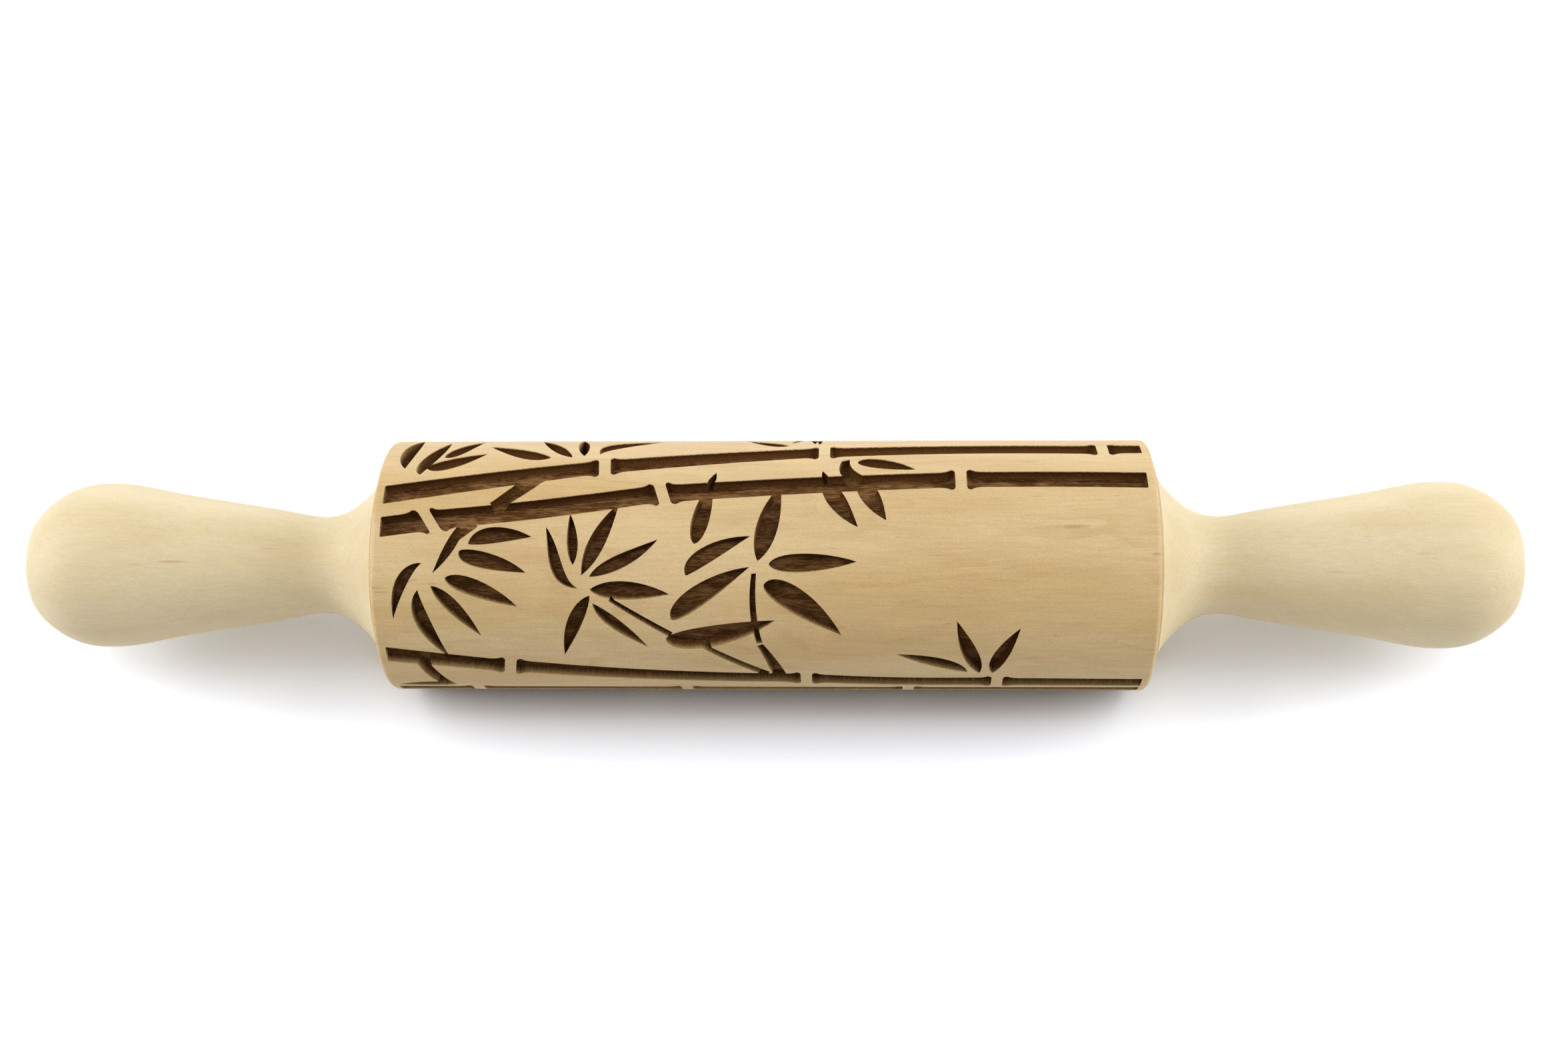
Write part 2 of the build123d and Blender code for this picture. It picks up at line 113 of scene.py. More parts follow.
class RollerFinish(bpy.types.PropertyGroup):
    """Bare wood and burnt engraving of the roller."""

    wood: colour("Wood", "Sanded wood between the engraving", (0.645, 0.476, 0.246))
    honey: colour("Warm wood", "Broad warmer patches of the sanded wood", (0.61, 0.430, 0.195))
    figure: colour("Figure", "Darker bands of the growth rings", (0.53, 0.345, 0.155))
    pore: colour("Pores", "Short open pores and flecks", (0.40, 0.22, 0.10))
    floor: colour("Engraved floor", "Burnt floor of the engraving", (0.094, 0.039, 0.0115))
    floor_light: colour("Engraved streaks", "Paler streaks left by the engraver", (0.29, 0.148, 0.058))
    wall: colour("Engraved wall", "Burnt walls of the engraving", (0.130, 0.055, 0.017))
    rim: colour("Engraved rim", "Darkest char, at the top of the walls", (0.062, 0.022, 0.006))
    # Painted light: a paler wall colour near the top of the walls that face the lamps, standing in for the
    # light that falls on them
    lit_wall: colour("Lamplit wall", "Rim of the walls on the sheltered side", (0.45, 0.295, 0.125))
    depth: length("Engraving depth", "From the surface down to the engraved floor", 0.002)
    margin: length("Plain margin", "Unengraved band at each end of the roller", 0.0015)
    scorch: length("Ragged rim", "How far bare wood reaches down the wall between scorch marks", 0.00006)
    # How far down the lamp-facing walls that painted light reaches before they turn to the burnt colour
    lit_wall_depth: length("Lamplit depth", "How far down sheltered walls go from toasted to burnt", 0.0015)
    streak_pitch: length("Streak pitch", "Distance between the engraver's passes", 0.00018)


class HandleFinish(bpy.types.PropertyGroup):
    """Bare pale wood of the two handles."""

    wood: colour("Wood", "Sanded pale wood", (0.715, 0.60, 0.375))
    figure: colour("Figure", "Warmer bands of the growth rings", (0.66, 0.51, 0.275))
    pore: colour("Pores", "Short pores and flecks", (0.50, 0.33, 0.16))


class HardwareFinish(bpy.types.PropertyGroup):
    """Metals and plastic inside the roller and the handles."""

    steel: colour("Steel", "Axle and washers", (0.55, 0.56, 0.58))
    brass: colour("Brass", "Threaded inserts", (0.72, 0.52, 0.22))
    nylon: colour("Nylon", "Flanged bushes", (0.80, 0.78, 0.71))


class StudioSettings(bpy.types.PropertyGroup):
    """Plain floor, soft lights and camera."""

    elevation: bpy.props.FloatProperty(
        name="Elevation", description="How far above level the camera looks from", default=ARTWORK_TURN,
        subtype="ANGLE",
    )
    distance: length("Distance", "From the camera to the middle of the roller", 0.3131)
    along: length("Along", "How far the camera stands along the axle from the middle", 0.01225)
    pan: bpy.props.FloatProperty(
        name="Pan", description="Turn of the camera to the side", default=radians(1.781), subtype="ANGLE"
    )
    tip: bpy.props.FloatProperty(
        name="Tip", description="Turn of the camera upwards", default=radians(1.252), subtype="ANGLE"
    )
    lens: bpy.props.FloatProperty(name="Lens", description="Focal length, in millimetres", default=44.62)
    floor: length("Floor", "Width of the floor", 8.0)
    sky: share("Sky", "Strength of the even light from all round", 0.06, 4.0)
    overhead: share("Overhead", "Power of the broad light straight above, in watts", 1.2, 400.0)
    front: share("Front", "Power of the soft light above and in front, in watts", 2.0, 400.0)
    high_side: share("High sides", "Power of each soft light high over an end, in watts", 3.5, 400.0)
    low_side: share("Low sides", "Power of each soft light low beside an end, in watts", 2.2, 400.0)
    back: share("Back", "Power of the low strip of light behind, in watts", 3.5, 400.0)
    floor_gain: share("Floor level", "How pale the floor looks to the camera", 1.10, 4.0)


# Node helpers


class Wiring:
    """Adds nodes to a tree and joins them. A value is a number, a colour, a vector or a node's output."""

    def __init__(self, tree):
        self.tree = tree

    def add(self, kind, **settings):
        """New node of a kind, with its settings."""
        node = self.tree.nodes.new(kind)
        for name, value in settings.items():
            setattr(node, name, value)
        return node

    def join(self, value, socket):
        """Link an output to the socket, or set the socket to a plain value."""
        if isinstance(value, bpy.types.NodeSocket):
            self.tree.links.new(value, socket)
        else:
            socket.default_value = value

    def maths(self, operation, first, second=0.0, third=0.0):
        """Result of a Math node."""
        node = self.add("ShaderNodeMath", operation=operation)
        for socket, value in zip(node.inputs, (first, second, third)):
            self.join(value, socket)
        return node.outputs[0]

    def vector(self, operation, first, second=(0.0, 0.0, 0.0)):
        """Result of a Vector Math node: a number for a length or a dot product, otherwise a vector."""
        node = self.add("ShaderNodeVectorMath", operation=operation)
        self.join(first, node.inputs[0])
        self.join(second, node.inputs[1])
        return node.outputs["Value" if operation in ("LENGTH", "DOT_PRODUCT") else "Vector"]

    def scaled(self, vector, factor):
        """A vector times a number."""
        node = self.add("ShaderNodeVectorMath", operation="SCALE")
        self.join(vector, node.inputs[0])
        self.join(factor, node.inputs["Scale"])
        return node.outputs["Vector"]

    def split(self, vector):
        """The three numbers of a vector."""
        node = self.add("ShaderNodeSeparateXYZ")
        self.join(vector, node.inputs[0])
        return node.outputs["X"], node.outputs["Y"], node.outputs["Z"]

    def combine(self, x, y, z):
        """A vector from three numbers."""
        node = self.add("ShaderNodeCombineXYZ")
        for socket, value in zip(node.inputs, (x, y, z)):
            self.join(value, socket)
        return node.outputs[0]

    def noise(self, vector, scale=1.0, detail=2.0, roughness=0.5):
        """Soft noise, mostly from 0.3 to 0.7."""
        node = self.add("ShaderNodeTexNoise")
        self.join(vector, node.inputs["Vector"])
        self.join(scale, node.inputs["Scale"])
        self.join(detail, node.inputs["Detail"])
        self.join(roughness, node.inputs["Roughness"])
        return node.outputs["Fac"]

    def ease(self, value, low, high, start=0.0, end=1.0):
        """Smooth step from start to end as value goes from low to high."""
        node = self.add("ShaderNodeMapRange", interpolation_type="SMOOTHSTEP")
        for socket, number in zip(node.inputs, (value, low, high, start, end)):
            self.join(number, socket)
        return node.outputs["Result"]

    def mix(self, amount, first, second, blend="MIX"):
        """Mix of two colours."""
        node = self.add("ShaderNodeMix", data_type="RGBA", blend_type=blend)
        self.join(amount, node.inputs["Factor"])
        for socket, value in zip([s for s in node.inputs if s.type == "RGBA"], (first, second)):
            self.join(rgba(value), socket)
        return next(s for s in node.outputs if s.type == "RGBA")

    def shaded(self, base, shade):
        """A colour made darker or lighter by a number."""
        return self.mix(1.0, base, self.combine(shade, shade, shade), "MULTIPLY")

    def blend_values(self, amount, first, second):
        """Mix of two numbers."""
        node = self.add("ShaderNodeMix", data_type="FLOAT")
        self.join(amount, node.inputs["Factor"])
        for socket, value in zip([s for s in node.inputs if s.type == "VALUE"][1:], (first, second)):
            self.join(value, socket)
        return next(s for s in node.outputs if s.type == "VALUE")

    def group(self, tree, **values):
        """Outputs of a node group, with its inputs given by name, an underscore for each space."""
        node = self.add("ShaderNodeGroup", node_tree=tree)
        for name, value in values.items():
            self.join(value, node.inputs[name.replace("_", " ")])
        return node.outputs


def rgba(value):
    """A colour with its alpha, where the value is a colour."""
    if isinstance(value, bpy.types.NodeSocket):
        return value
    return (*tuple(value)[:3], 1.0)


def new_group(name, inputs, outputs):
    """Shader node group with named sockets. Returns its wiring, its inputs and its outputs."""
    tree = bpy.data.node_groups.new(name, "ShaderNodeTree")
    for socket_name, kind, value in inputs:
        socket = tree.interface.new_socket(socket_name, in_out="INPUT", socket_type=kind)
        socket.default_value = value
    for socket_name, kind in outputs:
        tree.interface.new_socket(socket_name, in_out="OUTPUT", socket_type=kind)
    wiring = Wiring(tree)
    start = wiring.add("NodeGroupInput")
    end = wiring.add("NodeGroupOutput")
    return wiring, start.outputs, end.inputs


FLOAT = "NodeSocketFloat"
VECTOR = "NodeSocketVector"


def shared_group(name, make):
    """The node group of that name, made once."""
    return bpy.data.node_groups.get(name) or make(name)


def make_wood_figure(name):
    """Growth rings, fibres and pores of a plain wood whose grain runs along X."""
    wiring, given, put_out = new_group(
        name,
        [
            ("Vector", VECTOR, (0.0, 0.0, 0.0)),
            ("Pith", VECTOR, (0.0, 0.05, -0.05)),
            ("Ring Width", FLOAT, 0.003),
            ("Waver", FLOAT, 0.004),
        ],
        [("Rings", FLOAT), ("Bands", FLOAT), ("Fibres", FLOAT), ("Speckle", FLOAT), ("Pores", FLOAT)],
    )
    place = wiring.scaled(given["Vector"], MILLIMETRES)

    # Growth rings: how far each point lies from the pith, made uneven by slow noise
    slow = wiring.vector("MULTIPLY", place, SLOW_GRAIN)
    drift = wiring.maths("SUBTRACT", wiring.noise(slow, detail=3.0, roughness=0.55), 0.5)
    across = wiring.vector("MULTIPLY", wiring.vector("SUBTRACT", given["Vector"], given["Pith"]),
                           (0.0, 1.0, 1.0))
    reach = wiring.vector("LENGTH", across)
    reach = wiring.maths("ADD", reach, wiring.maths("MULTIPLY", drift, given["Waver"]))
    turns = wiring.maths("DIVIDE", reach, given["Ring Width"])
    phase = wiring.maths("FRACT", turns)
    late = wiring.ease(phase, 0.45, 0.95)
    fall = wiring.ease(phase, 0.95, 1.0, 1.0, 0.0)
    rings = wiring.maths("MULTIPLY", late, fall)
    broken = wiring.ease(wiring.noise(slow, scale=2.3, detail=2.0, roughness=0.5), 0.35, 0.65)
    wiring.join(wiring.maths("MULTIPLY", rings, broken), put_out["Rings"])

    # Broad bands, fibres and grit
    wide = wiring.vector("MULTIPLY", place, WIDE_GRAIN)
    wiring.join(wiring.ease(wiring.noise(wide, detail=3.0, roughness=0.6), 0.35, 0.68), put_out["Bands"])
    strands = wiring.vector("MULTIPLY", place, STRAND_GRAIN)
    wiring.join(wiring.noise(strands, detail=4.0, roughness=0.62), put_out["Fibres"])
    grit = wiring.vector("MULTIPLY", place, GRIT_GRAIN)
    wiring.join(wiring.noise(grit, detail=2.0, roughness=0.6), put_out["Speckle"])

    # Short pores, only in some of the bands
    dashes = wiring.vector("MULTIPLY", place, PORE_GRAIN)
    dash = wiring.ease(wiring.noise(dashes, detail=1.0, roughness=0.4), 0.67, 0.76)
    sparse = wiring.ease(wiring.noise(wide, scale=3.1, detail=1.0, roughness=0.5), 0.50, 0.62)
    wiring.join(wiring.maths("MULTIPLY", dash, sparse), put_out["Pores"])
    return wiring.tree


def make_streak(name):
    """One short dark streak in the grain, at a place on the surface."""
    wiring, given, put_out = new_group(
        name,
        [
            ("Vector", VECTOR, (0.0, 0.0, 0.0)),
            ("Centre", VECTOR, (0.0, 0.0, 0.0)),
            ("Length", FLOAT, 0.004),
            ("Width", FLOAT, 0.0004),
        ],
        [("Mask", FLOAT)],
    )
    away = wiring.vector("SUBTRACT", given["Vector"], given["Centre"])
    x, y, z = wiring.split(away)
    waver = wiring.noise(given["Vector"], scale=700.0, detail=2.0, roughness=0.6)
    bend = wiring.maths("MULTIPLY", wiring.maths("SUBTRACT", waver, 0.5), given["Width"])
    side = wiring.vector("LENGTH", wiring.combine(0.0, wiring.maths("ADD", y, bend),
                                                  wiring.maths("SUBTRACT", z, bend)))
    along = wiring.maths("DIVIDE", wiring.maths("ABSOLUTE", x), given["Length"])
    over = wiring.maths("DIVIDE", side, given["Width"])
    along_squared = wiring.maths("MULTIPLY", along, along)
    total = wiring.maths("MULTIPLY_ADD", over, over, along_squared)
    wiring.join(wiring.ease(total, 0.1, 1.0, 1.0, 0.0), put_out["Mask"])
    return wiring.tree


def wood_figure(wiring, vector, pith, ring_width, waver):
    """The wood figure group, placed in a material."""
    tree = shared_group("Wood figure", make_wood_figure)
    return wiring.group(tree, Vector=vector, Pith=pith, Ring_Width=ring_width, Waver=waver)


def streaks(wiring, vector, places):
    """Sum of the streaks at the given places, each as (centre, half length, half width, strength)."""
    tree = shared_group("Grain streak", make_streak)
    total = 0.0
    for centre, half_length, half_width, strength in places:
        streak = wiring.group(tree, Vector=vector, Centre=centre, Length=half_length, Width=half_width)
        total = wiring.maths("MAXIMUM", total, wiring.maths("MULTIPLY", streak["Mask"], strength))
    return total


def on_roller(x, round_up):
    """Point on the roller's surface: x along it and a way round it, up from the artwork's middle."""
    angle = ARTWORK_TURN + round_up / ROLLER_RADIUS
    return Vector((x, 0.0, 0.0)) + Matrix.Rotation(-angle, 3, "X") @ Vector((0.0, -ROLLER_RADIUS, 0.0))


def on_handle(x, angle):
    """Point on a handle drawn as a plain cylinder: x along it and degrees up from the front."""
    spoke = Matrix.Rotation(radians(-angle), 3, "X") @ Vector((0.0, -HANDLE_SKIN, 0.0))
    return Vector((x, 0.0, 0.0)) + spoke


def new_material(name):
    """Empty material with its wiring, its shader and Object coordinates."""
    material = bpy.data.materials.new(name)
    material.use_nodes = True
    wiring = Wiring(material.node_tree)
    shader = material.node_tree.nodes["Principled BSDF"]
    place = wiring.add("ShaderNodeTexCoord").outputs["Object"]
    return material, wiring, shader, place


def bump(wiring, height, distance, shader):
    """Join a height to the shader's normal, distance metres high."""
    node = wiring.add("ShaderNodeBump")
    node.inputs["Strength"].default_value = 1.0
    node.inputs["Distance"].default_value = distance
    wiring.join(height, node.inputs["Height"])
    wiring.join(node.outputs["Normal"], shader.inputs["Normal"])


def finish_node(name, material):
    """Give a CAD node its material."""
    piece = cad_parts[name]
    piece.data.materials.clear()
    piece.data.materials.append(material)


# Materials


def bare_wood(wiring, place, finish, figure):
    """Sanded wood between the engraving: warm patches, faint rings, fibres, flecks and dark streaks."""
    patches = wiring.noise(wiring.vector("MULTIPLY", place, PATCHES), detail=2.0, roughness=0.5)
    wood = wiring.mix(wiring.ease(patches, 0.36, 0.64), finish.wood, finish.honey)
    wood = wiring.mix(wiring.maths("MULTIPLY", figure["Bands"], 0.40), wood, finish.figure)
    wood = wiring.mix(wiring.maths("MULTIPLY", figure["Rings"], 0.50), wood, finish.figure)
    fibre = wiring.ease(figure["Fibres"], 0.3, 0.7, 0.94, 1.05)
    speckle = wiring.ease(figure["Speckle"], 0.32, 0.68, 0.94, 1.05)
    wood = wiring.shaded(wood, wiring.maths("MULTIPLY", fibre, speckle))
    marks = streaks(wiring, place, [
        (on_roller(0.0472, 0.0059), 0.0026, 0.00035, 0.55),
        (on_roller(0.0592, 0.0016), 0.0012, 0.0003, 0.5),
        (on_roller(0.0065, 0.0128), 0.0022, 0.00028, 0.35),
        (on_roller(-0.0130, -0.0210), 0.0018, 0.00025, 0.35),
        (on_roller(-0.0589, -0.0035), 0.0020, 0.0002, 0.45),
        (on_roller(-0.0583, -0.0042), 0.0015, 0.0002, 0.40),
    ])
    pores = wiring.maths("MAXIMUM", wiring.maths("MULTIPLY", figure["Pores"], 0.45), marks)
    return wiring.mix(pores, wood, finish.pore)


def floor_streaks(wiring, place, finish):
    """Fine streaks along the roller, one for each pass of the engraver, from 0 to 1."""
    passes = 1.0 / finish.streak_pitch
    fine = wiring.vector("MULTIPLY", place, (STREAKS_ALONG, passes, passes))
    lines = wiring.noise(fine, detail=3.0, roughness=0.65)
    broad = wiring.noise(wiring.vector("MULTIPLY", place, BROAD_STREAKS), detail=2.0, roughness=0.5)
    return wiring.ease(wiring.maths("MULTIPLY_ADD", broad, 0.6, lines), 0.64, 0.92)


def roller_material(finish):
    """Sanded wood with burnt engraving: what lies below the surface, inside the margins, is charred."""
    material, wiring, shader, place = new_material("roller wood")
    x, y, z = wiring.split(place)
    spoke = wiring.combine(0.0, y, z)
    depth = wiring.maths("SUBTRACT", ROLLER_RADIUS, wiring.vector("LENGTH", spoke))
    outwards = wiring.vector("NORMALIZE", spoke)

    # Painted light: walls that face up and to the right, towards the lamps, are given a paler colour than
    # the rest of the burnt walls
    round_up = wiring.vector("CROSS_PRODUCT", outwards, (1.0, 0.0, 0.0))
    lit = wiring.vector("ADD", wiring.scaled(round_up, LIT_ROUND), (LIT_ALONG, 0.0, 0.0))
    pale = wiring.ease(wiring.vector("DOT_PRODUCT", place.node.outputs["Normal"], lit), -0.05, 0.45)

    # Fine upright flutes on the walls: a column of noise for each spot of the rim
    rim_place = wiring.combine(wiring.maths("MULTIPLY", x, FLUTES_ALONG), 0.0, 0.0)
    flute_place = wiring.vector("ADD", rim_place, wiring.scaled(outwards, FLUTES_ROUND))
    flutes = wiring.ease(wiring.noise(flute_place, detail=2.0, roughness=0.6), 0.34, 0.66)

    # Burnt is what lies below the ragged rim, between the plain margins and above the bore
    edge = ROLLER_END - finish.margin * 0.75
    inside = wiring.ease(wiring.maths("ABSOLUTE", x), edge, edge + MARGIN_FADE, 1.0, 0.0)
    rim = wiring.maths("MULTIPLY_ADD", flutes, finish.scorch, SCORCH_START)
    below = wiring.ease(depth, rim, wiring.maths("ADD", rim, SCORCH_FADE))
    shallow = wiring.ease(depth, finish.depth + BORE_GUARD, finish.depth + BORE_GUARD * 1.5, 1.0, 0.0)
    burnt = wiring.maths("MULTIPLY", wiring.maths("MULTIPLY", inside, below), shallow)

    # Streaked floors with darker clouds, and walls black at the rim, with painted light on the walls that
    # face the lamps: paler near the top, fading to the burnt colour further down
    streak = floor_streaks(wiring, place, finish)
    cloudy = wiring.noise(place, scale=CLOUDS, detail=1.0, roughness=0.5)
    clouds = wiring.ease(cloudy, 0.38, 0.62, 0.0, 0.25)
    floor = wiring.mix(clouds, wiring.mix(streak, finish.floor, finish.floor_light), finish.rim)
    soot = wiring.ease(depth, wiring.ease(flutes, 0.0, 1.0, 0.0, SOOT_START), SOOT_REACH, 1.0, 0.0)
    wall = wiring.mix(soot, finish.wall, finish.rim)
    foot = wiring.ease(depth, finish.depth - FOOT_START, finish.depth - FOOT_END, 1.0, 0.0)
    # Painted light: the paler colour on the lamp-facing walls, strongest at the top and gone further down
    reach = wiring.maths("MULTIPLY", wiring.ease(flutes, 0.0, 1.0, 0.8, 1.1), finish.lit_wall_depth)
    lamplit = wiring.maths("MULTIPLY", pale, wiring.ease(depth, 0.0, reach, 1.0, 0.0))
    char = wiring.mix(lamplit, wiring.mix(foot, floor, wall), finish.lit_wall)
    figure = wood_figure(wiring, place, Vector((0.0, 0.062, -0.058)), 0.0036, 0.034)
    bare = bare_wood(wiring, place, finish, figure)
    wiring.join(wiring.mix(burnt, bare, char), shader.inputs["Base Color"])

    smooth = wiring.ease(figure["Fibres"], 0.3, 0.7, 0.50, 0.60)
    wiring.join(wiring.blend_values(burnt, smooth, 0.95), shader.inputs["Roughness"])
    wiring.join(wiring.blend_values(burnt, 0.35, 0.0), shader.inputs["Specular IOR Level"])
    relief = wiring.maths("ADD", wiring.maths("MULTIPLY", figure["Fibres"], 0.15),
                          wiring.maths("MULTIPLY", figure["Speckle"], 0.15))
    rough = wiring.blend_values(foot, streak, flutes)
    bump(wiring, wiring.blend_values(burnt, relief, rough), 0.00010, shader)
    return material


def handle_material(finish):
    """Sanded pale wood with fine straight grain and a few short flecks."""
    material, wiring, shader, place = new_material("handle wood")
    figure = wood_figure(wiring, place, Vector((0.0, 0.045, 0.03)), 0.0052, 0.012)
    wood = wiring.mix(wiring.maths("MULTIPLY", figure["Bands"], 0.55), finish.wood, finish.figure)
    wood = wiring.mix(wiring.maths("MULTIPLY", figure["Rings"], 0.22), wood, finish.figure)
    fibre = wiring.ease(figure["Fibres"], 0.3, 0.7, 0.95, 1.03)
    speckle = wiring.ease(figure["Speckle"], 0.32, 0.68, 0.965, 1.03)
    wood = wiring.shaded(wood, wiring.maths("MULTIPLY", fibre, speckle))
    x, y, z = wiring.split(place)
    outwards = wiring.vector("NORMALIZE", wiring.combine(0.0, y, z))
    skin = wiring.vector("ADD", wiring.combine(x, 0.0, 0.0), wiring.scaled(outwards, HANDLE_SKIN))
    marks = streaks(wiring, skin, [
        (on_handle(-0.0932, 52.6), 0.0029, 0.00030, 0.60),
        (on_handle(-0.0985, 50.5), 0.0016, 0.00022, 0.25),
        (on_handle(-0.0788, 67.0), 0.0016, 0.00030, 0.30),
        (on_handle(0.0880, 44.0), 0.0022, 0.00026, 0.40),
        (on_handle(0.1010, 58.0), 0.0014, 0.00024, 0.30),
    ])
    pores = wiring.maths("MAXIMUM", wiring.maths("MULTIPLY", figure["Pores"], 0.30), marks)
    wiring.join(wiring.mix(pores, wood, finish.pore), shader.inputs["Base Color"])
    wiring.join(wiring.ease(figure["Fibres"], 0.3, 0.7, 0.48, 0.58), shader.inputs["Roughness"])
    relief = wiring.maths("ADD", figure["Fibres"], figure["Speckle"])
    bump(wiring, relief, 0.00002, shader)
    shader.inputs["Specular IOR Level"].default_value = 0.4
    return material


def metal_material(name, base, roughness, along):
    """Turned or drawn metal, with fine marks that run along the axle or round it."""
    material, wiring, shader, place = new_material(name)
    if along:
        lines = wiring.vector("MULTIPLY", place, DRAWN_MARKS)
    else:
        x, y, z = wiring.split(place)
        reach = wiring.vector("LENGTH", wiring.combine(0.0, y, z))
        lines = wiring.vector("MULTIPLY", wiring.combine(x, reach, 0.0), TURNED_MARKS)
    marks = wiring.noise(lines, detail=3.0, roughness=0.6)
    tint = wiring.ease(marks, 0.3, 0.7, 0.88, 1.0)
    wiring.join(wiring.shaded(base, tint), shader.inputs["Base Color"])
    uneven = wiring.ease(marks, 0.3, 0.7, roughness - 0.06, roughness + 0.08)
    wiring.join(uneven, shader.inputs["Roughness"])
    bump(wiring, marks, 0.000006, shader)
    shader.inputs["Metallic"].default_value = 1.0
    return material


def nylon_material(base):
    """Moulded natural nylon with a faint cloud and a fine matt grain."""
    material, wiring, shader, place = new_material("bush nylon")
    cloud = wiring.noise(place, scale=300.0, detail=2.0, roughness=0.5)
    grain = wiring.noise(place, scale=5000.0, detail=2.0, roughness=0.5)
    tint = wiring.ease(cloud, 0.3, 0.7, 0.94, 1.0)
    wiring.join(wiring.shaded(base, tint), shader.inputs["Base Color"])
    wiring.join(wiring.ease(grain, 0.3, 0.7, 0.38, 0.5), shader.inputs["Roughness"])
    bump(wiring, grain, 0.00001, shader)
    shader.inputs["Subsurface Weight"].default_value = 0.08
    shader.inputs["Subsurface Radius"].default_value = (0.002, 0.002, 0.002)
    return material


def seen(wiring):
    """1 for a ray that shows a surface to the camera, straight or by way of something shiny or clear."""
    path = wiring.add("ShaderNodeLightPath").outputs
    indirect = wiring.maths("MAXIMUM", path["Is Glossy Ray"], path["Is Transmission Ray"])
    return wiring.maths("MAXIMUM", path["Is Camera Ray"], indirect)


def floor_material(gain):
    """White floor. The camera sees it brighter by gain, and plain white far from the object."""
    material, wiring, shader, place = new_material("studio floor")
    to_camera = seen(wiring)
    cool = [gain * part for part in COOL_TINT]
    white = wiring.mix(to_camera, FLOOR_WHITE, cool)
    wiring.join(white, shader.inputs["Base Color"])
    far = wiring.ease(wiring.vector("LENGTH", place), FADE_START, FADE_END)
    glow = wiring.mix(wiring.maths("MULTIPLY", far, to_camera), (0.0, 0.0, 0.0), (1.0, 1.0, 1.0))
    wiring.join(glow, shader.inputs["Emission Color"])
    shader.inputs["Emission Strength"].default_value = 1.0
    shader.inputs["Roughness"].default_value = 0.9
    shader.inputs["Specular IOR Level"].default_value = 0.0
    return material


def studio_world(sky):
    """Even faint light from all round, which looks plain white wherever it shows past the floor."""
    world = bpy.data.worlds.new("studio")
    world.use_nodes = True
    wiring = Wiring(world.node_tree)
    background = world.node_tree.nodes["Background"]
    background.inputs["Color"].default_value = (1.0, 1.0, 1.0, 1.0)
    wiring.join(wiring.blend_values(seen(wiring), sky, 1.0), background.inputs["Strength"])
    return world


# Operators


class FinishRoller(bpy.types.Operator):
    """Dress the roller in sanded wood with burnt engraving"""

    bl_idname = "rolling_pin.finish_roller"
    bl_label = "Finish roller"

    def execute(self, context):
        finish_node("roller", roller_material(context.scene.roller_finish))
        return {"FINISHED"}


class FinishHandles(bpy.types.Operator):
    """Dress both handles in pale sanded wood"""

    bl_idname = "rolling_pin.finish_handles"
    bl_label = "Finish handles"

    def execute(self, context):
        material = handle_material(context.scene.handle_finish)
        for side in ("left", "right"):
            finish_node(f"{side}_handle", material)
        return {"FINISHED"}


class FinishAxle(bpy.types.Operator):
    """Dress the axle, the thrust washers and the handle inserts in metal"""

    bl_idname = "rolling_pin.finish_axle"
    bl_label = "Finish axle and inserts"

    def execute(self, context):
        finish = context.scene.hardware_finish
        finish_node("axle_rod", metal_material("drawn steel", finish.steel, 0.28, True))
        washer = metal_material("turned steel", finish.steel, 0.32, False)
        brass = metal_material("turned brass", finish.brass, 0.30, False)
        for side in ("left", "right"):
            finish_node(f"{side}_thrust_washer", washer)
            finish_node(f"{side}_handle_insert", brass)
        return {"FINISHED"}


class FinishBushes(bpy.types.Operator):
    """Dress the flanged bushes in nylon"""

    bl_idname = "rolling_pin.finish_bushes"
    bl_label = "Finish bushes"

    def execute(self, context):
        material = nylon_material(context.scene.hardware_finish.nylon)
        for side in ("left", "right"):
            finish_node(f"{side}_bush", material)
        return {"FINISHED"}


def area_light(name, place, aim, width, depth, power):
    """Soft rectangular light at a place, turned to face its aim."""
    turn = (Vector(aim) - Vector(place)).to_track_quat("-Z", "Y").to_euler()
    bpy.ops.object.light_add(type="AREA", location=place, rotation=turn)
    lamp = bpy.context.object
    lamp.name = name
    lamp.data.shape = "RECTANGLE"
    lamp.data.size = width
    lamp.data.size_y = depth
    lamp.data.energy = power
    return lamp


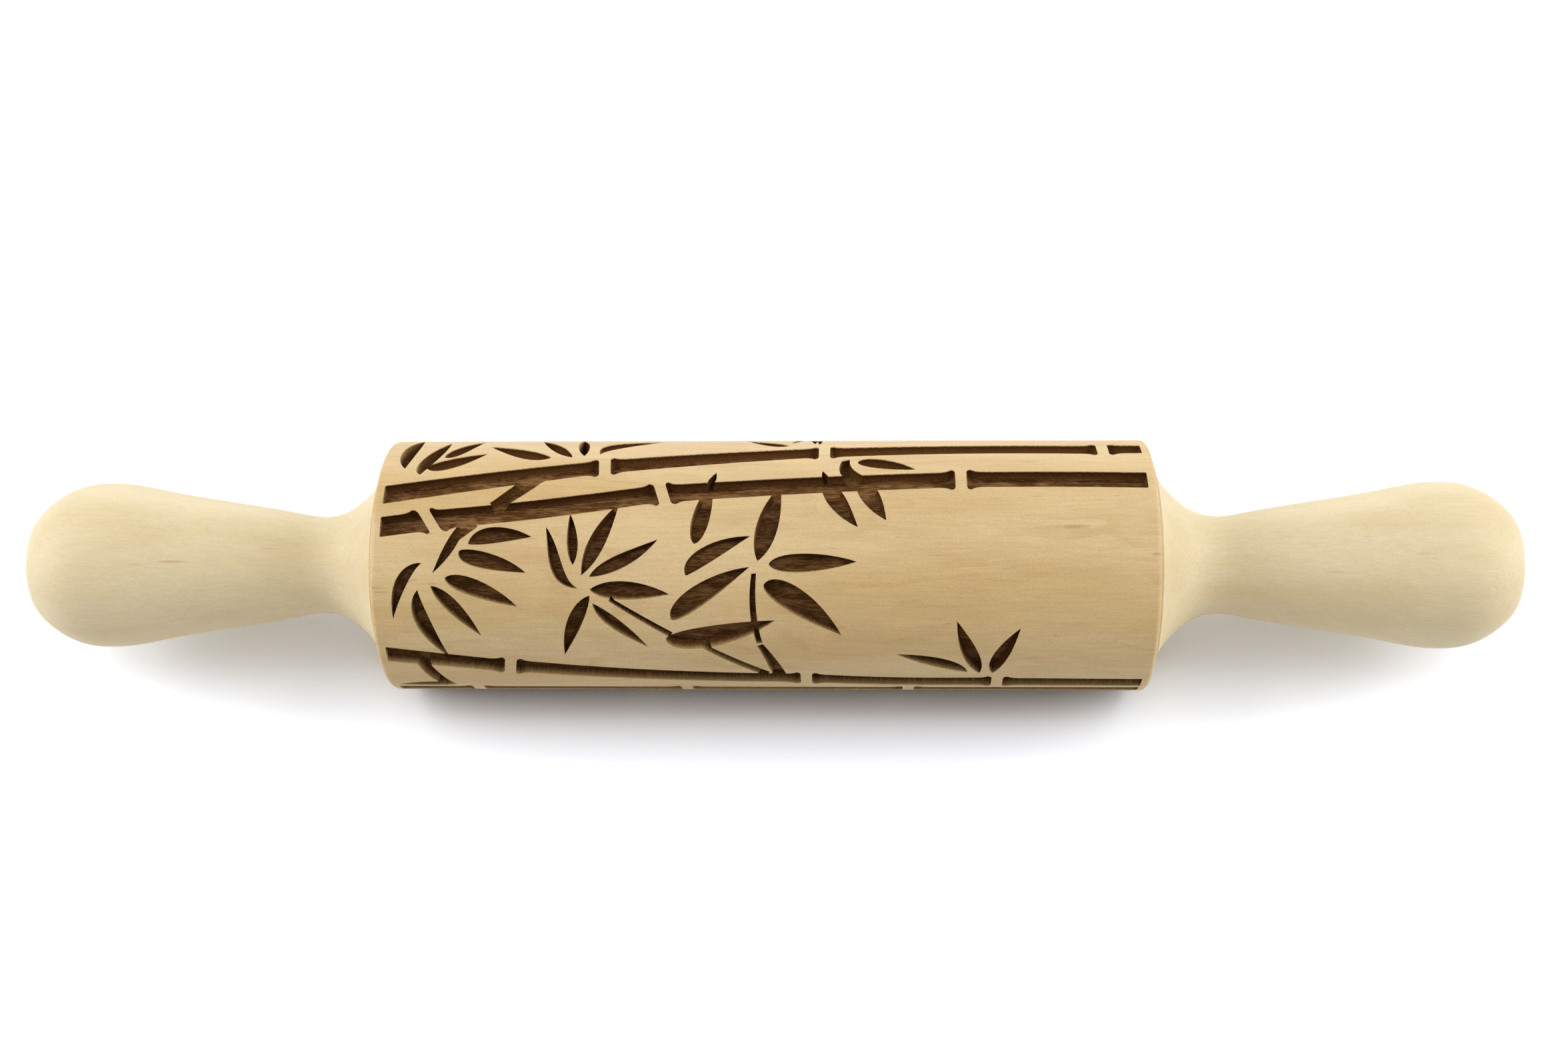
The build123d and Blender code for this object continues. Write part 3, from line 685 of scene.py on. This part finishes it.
class SetStudio(bpy.types.Operator):
    """Set the floor, the soft lights and the camera"""

    bl_idname = "rolling_pin.set_studio"
    bl_label = "Set studio"

    def execute(self, context):
        studio = context.scene.studio_settings
        bpy.ops.mesh.primitive_plane_add(size=studio.floor, location=(0.0, 0.0, -ROLLER_RADIUS))
        floor = context.object
        floor.name = "studio_floor"
        bpy.ops.object.transform_apply(location=True, rotation=False, scale=False)
        floor.data.materials.append(floor_material(studio.floor_gain))

        middle = (0.0, 0.0, 0.0)
        area_light("overhead_light", (0.0, 0.0, 1.2), middle, 2.0, 2.0, studio.overhead)
        area_light("front_light", (0.0, -0.4, 0.7), middle, 1.2, 0.5, studio.front)
        area_light("back_light", (0.0, 0.8, 0.15), middle, 1.2, 0.3, studio.back)
        for side in (-1, 1):
            area_light("high_side_light", (side * 0.6, 0.0, 0.5), middle, 0.4, 0.8, studio.high_side)
            area_light("low_side_light", (side * 0.8, 0.05, 0.3), middle, 0.5, 0.5, studio.low_side)

        context.scene.world = studio_world(studio.sky)

        view = (Matrix.Rotation(radians(90) - studio.elevation, 4, "X")
                @ Matrix.Rotation(studio.pan, 4, "Y") @ Matrix.Rotation(studio.tip, 4, "X"))
        away = Matrix.Rotation(-studio.elevation, 3, "X") @ Vector((0.0, -studio.distance, 0.0))
        stand = Vector((studio.along, 0.0, 0.0)) + away
        bpy.ops.object.camera_add(location=stand, rotation=view.to_euler())
        camera = context.object
        camera.name = "studio_camera"
        camera.data.lens = studio.lens
        camera.data.clip_start = 0.01
        context.scene.camera = camera
        context.scene.view_settings.view_transform = "Standard"
        return {"FINISHED"}


class RollingPinPanel(bpy.types.Panel):
    """Lists the steps that finish the rolling pin"""

    bl_idname = "VIEW3D_PT_rolling_pin"
    bl_label = "Rolling pin"
    bl_space_type = "VIEW_3D"
    bl_region_type = "UI"
    bl_category = "Rolling Pin"

    def draw(self, context):
        for step in STEPS:
            self.layout.operator(step.bl_idname)
        for name in SETTINGS:
            box = self.layout.box()
            group = getattr(context.scene, name)
            for setting in group.bl_rna.properties:
                if setting.identifier not in ("rna_type", "name"):
                    box.prop(group, setting.identifier)


STEPS = (FinishRoller, FinishHandles, FinishAxle, FinishBushes, SetStudio)
SETTINGS = {
    "roller_finish": RollerFinish,
    "handle_finish": HandleFinish,
    "hardware_finish": HardwareFinish,
    "studio_settings": StudioSettings,
}


def register():
    for cls in (*SETTINGS.values(), *STEPS, RollingPinPanel):
        bpy.utils.register_class(cls)
    for name, cls in SETTINGS.items():
        setattr(bpy.types.Scene, name, bpy.props.PointerProperty(type=cls))


def unregister():
    for name in SETTINGS:
        delattr(bpy.types.Scene, name)
    for cls in reversed((*SETTINGS.values(), *STEPS, RollingPinPanel)):
        bpy.utils.unregister_class(cls)


def main():
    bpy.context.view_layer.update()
    register()
    for step in STEPS:
        bpy.ops.object.select_all(action="DESELECT")
        group, name = step.bl_idname.split(".")
        getattr(getattr(bpy.ops, group), name)()


if __name__ == "__main__":
    main()
